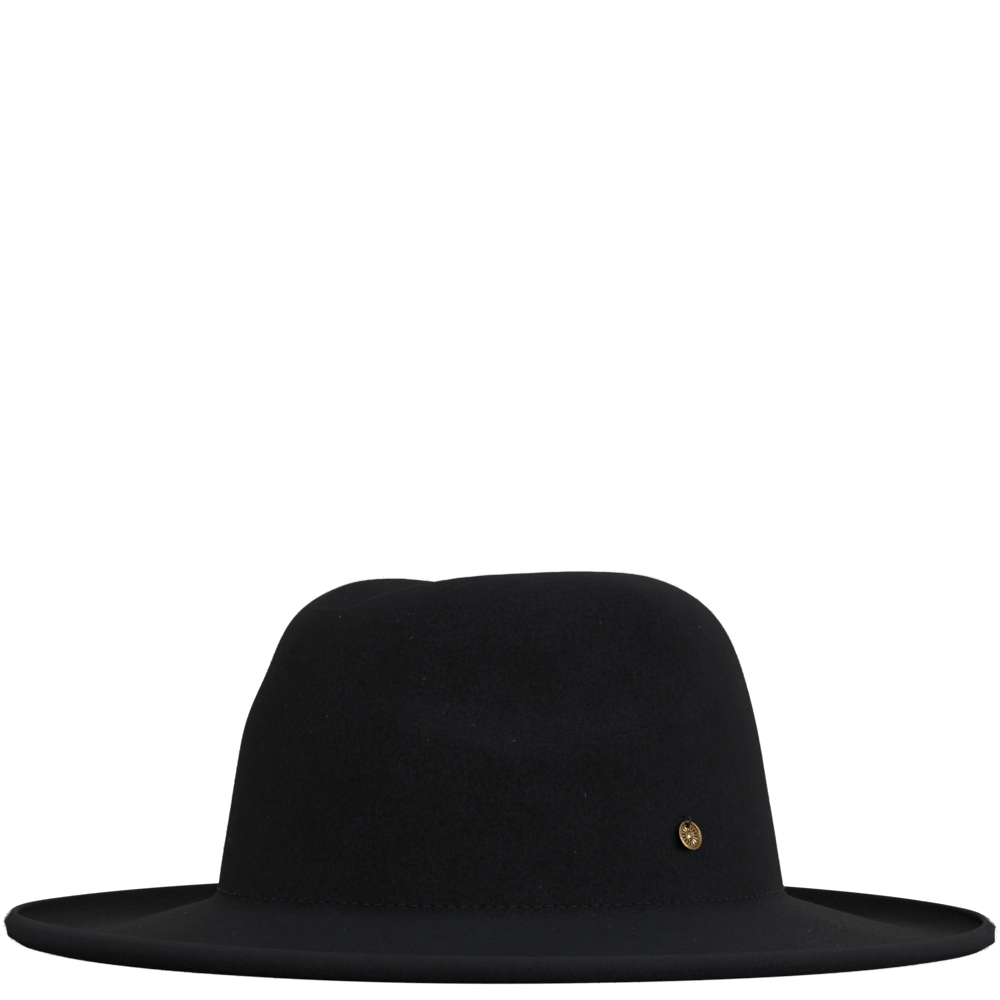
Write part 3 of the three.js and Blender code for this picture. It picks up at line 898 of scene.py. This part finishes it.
def badge_height(radius, angle):
    """Height of the badge's face: a rounded raised rim with a beaded inner edge, a fluted field
    and a domed button in a ring.

    Beads and flutes are cosines of the angle, and each raised ring is a bell of the radius."""
    rim_middle = BADGE_RADIUS - BADGE_RIM_WIDTH / 2
    rim = (BADGE_RIM_HEIGHT - BADGE_FIELD_HEIGHT) * np.exp(-(np.abs((radius - rim_middle) / 0.38) ** 4))
    beads = BEAD_HEIGHT * bell(radius - BEAD_RADIUS, BEAD_SPREAD) * (0.5 + 0.5 * np.cos(BEADS * angle))
    start = smoothstep(FLUTE_START, FLUTE_START + FLUTE_FADE, radius)
    end = smoothstep(FLUTE_END - FLUTE_FADE, FLUTE_END, radius)
    flutes = FLUTE_HEIGHT * (0.5 + 0.5 * np.cos(FLUTES * angle)) * start * (1 - end)
    ring = RING_HEIGHT * bell(radius - RING_RADIUS, RING_SPREAD)
    button = BUTTON_HEIGHT * np.clip(1 - (radius / BUTTON_RADIUS) ** 2, 0, 1) ** 0.6
    return BADGE_FIELD_HEIGHT + rim + beads + flutes + ring + button


def badge():
    """The badge as a lathed disc with its raised face, less the eye for its thread."""
    around = 176
    angle = np.linspace(0, 2 * np.pi, around, endpoint=False)[None, :]
    face = np.linspace(0, BADGE_RADIUS - 0.12, 64)[1:, None]
    face_height = badge_height(face, angle)
    edge = np.array([[0.0, -0.06], [0.03, -0.2], [0.03, -0.9], [0.0, -1.1], [-0.15, -1.24]])
    edge_radius = (BADGE_RADIUS - 0.03 + edge[:, 0])[:, None]
    edge_height = BADGE_RIM_HEIGHT + edge[:, 1][:, None] + 0 * angle
    back = np.full((1, around), BADGE_RADIUS - 0.3)
    radius = np.concatenate([face + 0 * angle, edge_radius + 0 * angle, back])
    height = np.concatenate([face_height, edge_height, np.zeros((1, around))])
    rings = joined(radius * np.cos(angle), radius * np.sin(angle), height)
    points = np.concatenate([rings.reshape(-1, 3), [[0, 0, badge_height(0.0, 0.0)], [0, 0, 0]]])
    quads, triangles = poled_faces(len(rings), around)
    above = points[np.concatenate([quads.ravel(), triangles.ravel()]), 2] - BADGE_FIELD_HEIGHT
    maps = {"relief_map": np.stack([above, 0 * above], -1)}
    faces = quads.tolist() + triangles.tolist()
    disc = new_piece("badge_disc", on_seat(tilted(points)), faces, gold_material, maps)
    drill_eye(disc)
    return disc


def drill_eye(disc):
    """Cuts the eye through the badge with a round drill, and keeps the cut mesh."""
    around = 48
    angle = np.linspace(0, 2 * np.pi, around, endpoint=False)[None, :]
    hole = THREAD_RADIUS + CLEARANCE
    height = np.array([-1.0, 3.0])[:, None]
    eye = BADGE_RADIUS - BADGE_EYE_FROM_RIM
    rings = joined(hole * np.cos(angle), eye + hole * np.sin(angle), height + 0 * angle)
    mesh = bpy.data.meshes.new("drill")
    column = np.arange(around)
    quads = np.stack([column, (column + 1) % around, around + (column + 1) % around, around + column], -1)
    caps = [column[::-1].tolist(), (around + column).tolist()]
    mesh.from_pydata(on_seat(tilted(rings.reshape(-1, 3))) * MM, [], quads.tolist() + caps)
    drill = bpy.data.objects.new("drill", mesh)
    bpy.context.scene.collection.objects.link(drill)
    cut = disc.modifiers.new("eye", "BOOLEAN")
    cut.object = drill
    cut.operation = "DIFFERENCE"
    cut.solver = "EXACT"
    bpy.context.view_layer.update()
    finished = bpy.data.meshes.new_from_object(disc.evaluated_get(bpy.context.evaluated_depsgraph_get()))
    disc.modifiers.clear()
    disc.data = finished
    bpy.data.objects.remove(drill)


badge_disc = badge()
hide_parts("badge")


def badge_loop():
    """The badge's thread: a twisted loop of two half circles and two straight sides."""
    steps, around = 160, 14
    loop = BADGE_EYE_FROM_RIM
    eye = tilted(np.array([0, BADGE_RADIUS - loop, BADGE_FIELD_HEIGHT / 2]))
    rim = tilted(np.array([0, BADGE_RADIUS - BADGE_RIM_WIDTH, BADGE_RIM_HEIGHT]))
    high = rim[2] + THREAD_SLACK + THREAD_RADIUS - loop
    turn = np.linspace(0, 2 * np.pi, steps, endpoint=False)
    turn = np.sort(np.concatenate([turn[1:], [0, np.pi]]))
    out = joined(0 * turn, np.cos(turn), np.sin(turn))
    outer_half = (turn > 0) & (turn < np.pi) | (np.arange(len(turn)) == 0)
    height = np.where(outer_half, high, -FELT)
    middle = joined(0 * turn, eye[1] + loop + loop * np.cos(turn), height + loop * np.sin(turn))
    side = np.tile([-1.0, 0, 0], (len(turn), 1))
    rings = twisted(middle, side, out, np.full(len(turn), THREAD_RADIUS), PLIES, 5.0, around)
    faces = grid_faces(len(turn), around, True)
    return new_piece("badge_loop", on_seat(rings.reshape(-1, 3)), faces.tolist(), loop_material)


badge_thread_loop = badge_loop()
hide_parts("badge_thread")


# Sweatband


RIBS = 640
RIB_HEIGHT = 0.07

# Section of the ribbon: shares of its width down from its top, and of its thickness from the felt
RIBBON_FACE = (
    (0.0, 0.9), (0.02, 1.0), (0.1, 1.0), (0.35, 1.0),
    (0.65, 1.0), (0.9, 1.0), (0.98, 1.0), (1.0, 0.9),
)
RIBBON_BACK = (
    (1.0, 0.45), (0.98, 0.25), (0.9, 0.25), (0.65, 0.3),
    (0.35, 0.35), (0.1, 0.25), (0.02, 0.25), (0.0, 0.45),
)


def band_stretch(azimuth, share):
    """The wall from the sweatband's top down to its foot."""
    return wall_point(azimuth, BAND_TOP + (BAND_FOOT - BAND_TOP) * share)


def ribbon():
    """Grosgrain ribbon inside the crown: a closed band with a rib every 0.9 mm or so.

    The ribs are cosines of the distance round, and both edges are rounded."""
    azimuth = ring_azimuths(4 * RIBS)
    down, thick = np.array(RIBBON_FACE + RIBBON_BACK).T[..., None]
    ribbed = np.arange(len(down))[:, None] < len(RIBBON_FACE)
    rib = RIB_HEIGHT * np.cos(2 * np.pi * RIBS * distance_round(azimuth)) * ribbed
    depth = FELT + CLEARANCE + BAND_THICKNESS * thick + rib
    rings = band_stretch(azimuth, down) - normal_of(band_stretch, azimuth, down) * depth[..., None]
    faces = grid_faces(len(down), 4 * RIBS, True)[:, ::-1]
    return new_piece("sweatband_ribbon", rings.reshape(-1, 3), faces.tolist(), ribbon_material)


sweatband_ribbon = ribbon()
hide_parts("sweatband")


# Fibres


def scattered(stretches, count, chance):
    """Points, normals and downhill directions spread evenly by area over stretches of the outside.

    A fine grid gives each cell's area, cells are drawn by area, and each point lies at a chance
    place in its cell."""
    weights, cells = [], []
    for number, stretch in enumerate(stretches):
        azimuth, share = np.meshgrid(np.linspace(0, 360, 181), np.linspace(0.001, 1, 41))
        grid = stretch(azimuth, share)
        down, round_it = grid[1:, :-1] - grid[:-1, :-1], grid[:-1, 1:] - grid[:-1, :-1]
        area = np.linalg.norm(np.cross(down, round_it), axis=-1).ravel()
        weights.append(area)
        cells.append(joined(np.full(area.size, number), azimuth[:-1, :-1].ravel(), share[:-1, :-1].ravel()))
    weights, cells = np.concatenate(weights), np.concatenate(cells)
    picked = cells[chance.choice(len(cells), count, p=weights / weights.sum())]
    azimuth = picked[:, 1] + 2 * chance.random(count)
    share = np.clip(picked[:, 2] + 0.025 * chance.random(count), 0.002, 0.999)
    points, normals, downs = np.empty((count, 3)), np.empty((count, 3)), np.empty((count, 3))
    for number, stretch in enumerate(stretches):
        chosen = picked[:, 0] == number
        a, s = azimuth[chosen], share[chosen]
        normal = normal_of(stretch, a, s)
        plain = stretch(a, s)
        points[chosen] = plain + normal * relief(stretch, a, s, plain)[:, None]
        normals[chosen] = normal
        down = stretch(a, s + 0.0005) - stretch(a, s - 0.0005)
        downs[chosen] = down / np.linalg.norm(down, axis=-1, keepdims=True)
    return points, normals, downs


def fibres(name, stretches, count, seed, length, lift, curl, width, joints, finish):
    """Fibres that leave the felt at a low angle and bend, each a tapering three-sided spike.

    A fibre's middle line is root + length (heading t + bend t^2), t from 0 to 1, and it stays
    above the resting plane."""
    chance = np.random.default_rng(seed)
    root, normal, down = scattered(stretches, count, chance)
    side = np.cross(normal, down)
    turn = chance.uniform(0, 2 * np.pi, (count, 1))
    flat = np.cos(turn) * down + np.sin(turn) * side
    rise = chance.uniform(lift[0], lift[1], (count, 1))
    heading = np.cos(rise) * flat + np.sin(rise) * normal
    across = np.cross(heading, normal)
    across /= np.linalg.norm(across, axis=-1, keepdims=True)
    over = np.cross(across, heading)
    bend = curl * (chance.normal(size=(count, 1)) * across + 0.5 * chance.normal(size=(count, 1)) * over)
    far = chance.uniform(length[0], length[1], (count, 1, 1))
    t = np.linspace(0, 1, joints + 1)[None, :, None]
    middle = (root - 0.12 * normal)[:, None] + far * t * heading[:, None] + far * t**2 * bend[:, None]
    middle[..., 2] = np.maximum(middle[..., 2], width)
    thick = width * chance.uniform(0.7, 1.3, (count, 1, 1, 1)) * (1 - t[:, :joints, :, None])
    angle = np.array([0, 2, 4]) * np.pi / 3
    spread = np.cos(angle)[:, None] * across[:, None, None] + np.sin(angle)[:, None] * over[:, None, None]
    rings = middle[:, :joints, None] + thick / 2 * spread
    points = np.concatenate([rings.reshape(count, -1, 3), middle[:, joints:]], 1)
    each = 3 * joints + 1
    k = np.arange(3)
    beside = (k + 1) % 3
    tip = np.stack([3 * (joints - 1) + k, 3 * (joints - 1) + beside, np.full(3, each - 1)], -1)
    start = np.arange(count)[:, None, None] * each
    walls = (grid_faces(joints, 3)[:, [0, 3, 2, 1]] + start).reshape(-1, 4)
    ends = (np.concatenate([tip, [[2, 1, 0]]]) + start).reshape(-1, 3)
    return new_piece(name, points.reshape(-1, 3), walls.tolist() + ends.tolist(), finish)


CROWN_STRETCHES = (top_stretch, wall_stretch, break_stretch)
BRIM_STRETCHES = (slope_stretch, rest_stretch, curl_stretch)
WHOLE_OUTSIDE = CROWN_STRETCHES + BRIM_STRETCHES

# Ranges of angles off the felt, in radians
FLAT = (0.0, 0.3)
COMBED = tuple(np.radians((4.0, 40.0)))
LOOSE = (COMBED[0], 1.3)
UPRIGHT = (COMBED[1], 1.5)

# Each kind: name, where it grows, how many, seed, range of lengths, range of angles off the felt,
# bend, width, joints and finish
FIBRES = (
    ("felt_nap_crown", CROWN_STRETCHES, 44000, 21, (0.5, 1.3), COMBED, 0.35, 0.07, 1, nap_material),
    ("felt_nap_brim", BRIM_STRETCHES, 44000, 22, (0.5, 1.3), COMBED, 0.35, 0.07, 1, nap_material),
    ("felt_nap_lip", (lip_back,), 9000, 25, (0.5, 1.3), COMBED, 0.35, 0.07, 1, nap_material),
    # The lip's upright fuzz takes the paler nap colour as a painted highlight on the crest
    ("felt_fuzz_lip", (lip_crest,), 6000, 26, (0.4, 1.1), UPRIGHT, 0.5, 0.07, 2, pale_and_highlight_nap_material),
    ("felt_fuzz_brim", BRIM_STRETCHES, 9000, 27, (0.5, 1.2), COMBED, 0.35, 0.08, 1, pale_and_highlight_nap_material),
    ("felt_fuzz", WHOLE_OUTSIDE, 7000, 23, (0.9, 2.2), LOOSE, 0.7, 0.055, 3, nap_material),
    ("lint_specks", WHOLE_OUTSIDE, 420, 24, (0.4, 1.0), FLAT, 0.8, 0.34, 3, lint_material),
)
for kind in FIBRES:
    fibres(*kind)


# Table and light


def table():
    """A wide white table, its top at the hat's resting plane."""
    size = 6.0
    mesh = bpy.data.meshes.new("table")
    corners = [(-size, -size, 0), (size, -size, 0), (size, size, 0), (-size, size, 0)]
    mesh.from_pydata(corners, [], [(0, 1, 2, 3)])
    material, tree, shader = new_material("table_white")
    shader.inputs["Base Color"].default_value = (0.12, 0.12, 0.12, 1)
    shader.inputs["Roughness"].default_value = 0.9
    shader.inputs["Emission Color"].default_value = (1, 1, 1, 1)
    seen = add(tree, "ShaderNodeLightPath").outputs["Is Camera Ray"]
    tree.links.new(seen, shader.inputs["Emission Strength"])
    mesh.materials.append(material)
    top = bpy.data.objects.new("table", mesh)
    bpy.context.scene.collection.objects.link(top)


def soft_light(name, azimuth, elevation, distance, size, power):
    """A square soft light on a sphere round the hat, turned to it."""
    data = bpy.data.lights.new(name, "AREA")
    data.shape = "SQUARE"
    data.size = size
    data.energy = power
    light = bpy.data.objects.new(name, data)
    a, e = np.radians(azimuth), np.radians(elevation)
    way = np.array([np.sin(a) * np.cos(e), -np.cos(a) * np.cos(e), np.sin(e)])
    light.location = (distance * way + [0, 0, 0.06]).tolist()
    light.rotation_euler = (np.pi / 2 - e, 0, a)
    light.visible_camera = False
    bpy.context.scene.collection.objects.link(light)


table()

# Each lamp: name, azimuth, degrees above the table, distance and size in metres, and power in watts
LAMPS = (
    ("backdrop", 225, 8, 2.6, 3.2, 42),
    ("above_right", 120, 62, 2.4, 1.4, 1.5),
    ("right", 108, 8, 2.4, 1.4, 26),
    ("left", -20, 8, 2.4, 1.2, 9),
    ("above_left", -40, 62, 2.4, 1.4, 1),
    ("above_front", 50, 48, 2.4, 1.4, 4),
    ("front", 45, 18, 2.4, 1.4, 4.5),
)
for lamp in LAMPS:
    soft_light(*lamp)


def white_room():
    """Soft light from all round, and a plain white behind the table where the camera looks."""
    world = bpy.data.worlds.new("white_room")
    world.use_nodes = True
    tree = world.node_tree
    background = tree.nodes["Background"]
    background.inputs["Strength"].default_value = 0.27
    backdrop = add(tree, "ShaderNodeBackground", {"Strength": 1.0})
    for node in (background, backdrop):
        node.inputs["Color"].default_value = (1, 1, 1, 1)
    seen = add(tree, "ShaderNodeLightPath").outputs["Is Camera Ray"]
    both = add(tree, "ShaderNodeMixShader", {0: seen, 1: background.outputs[0], 2: backdrop.outputs[0]})
    tree.links.new(both.outputs[0], tree.nodes["World Output"].inputs["Surface"])
    bpy.context.scene.world = world


white_room()
bpy.context.scene.view_settings.view_transform = "Standard"
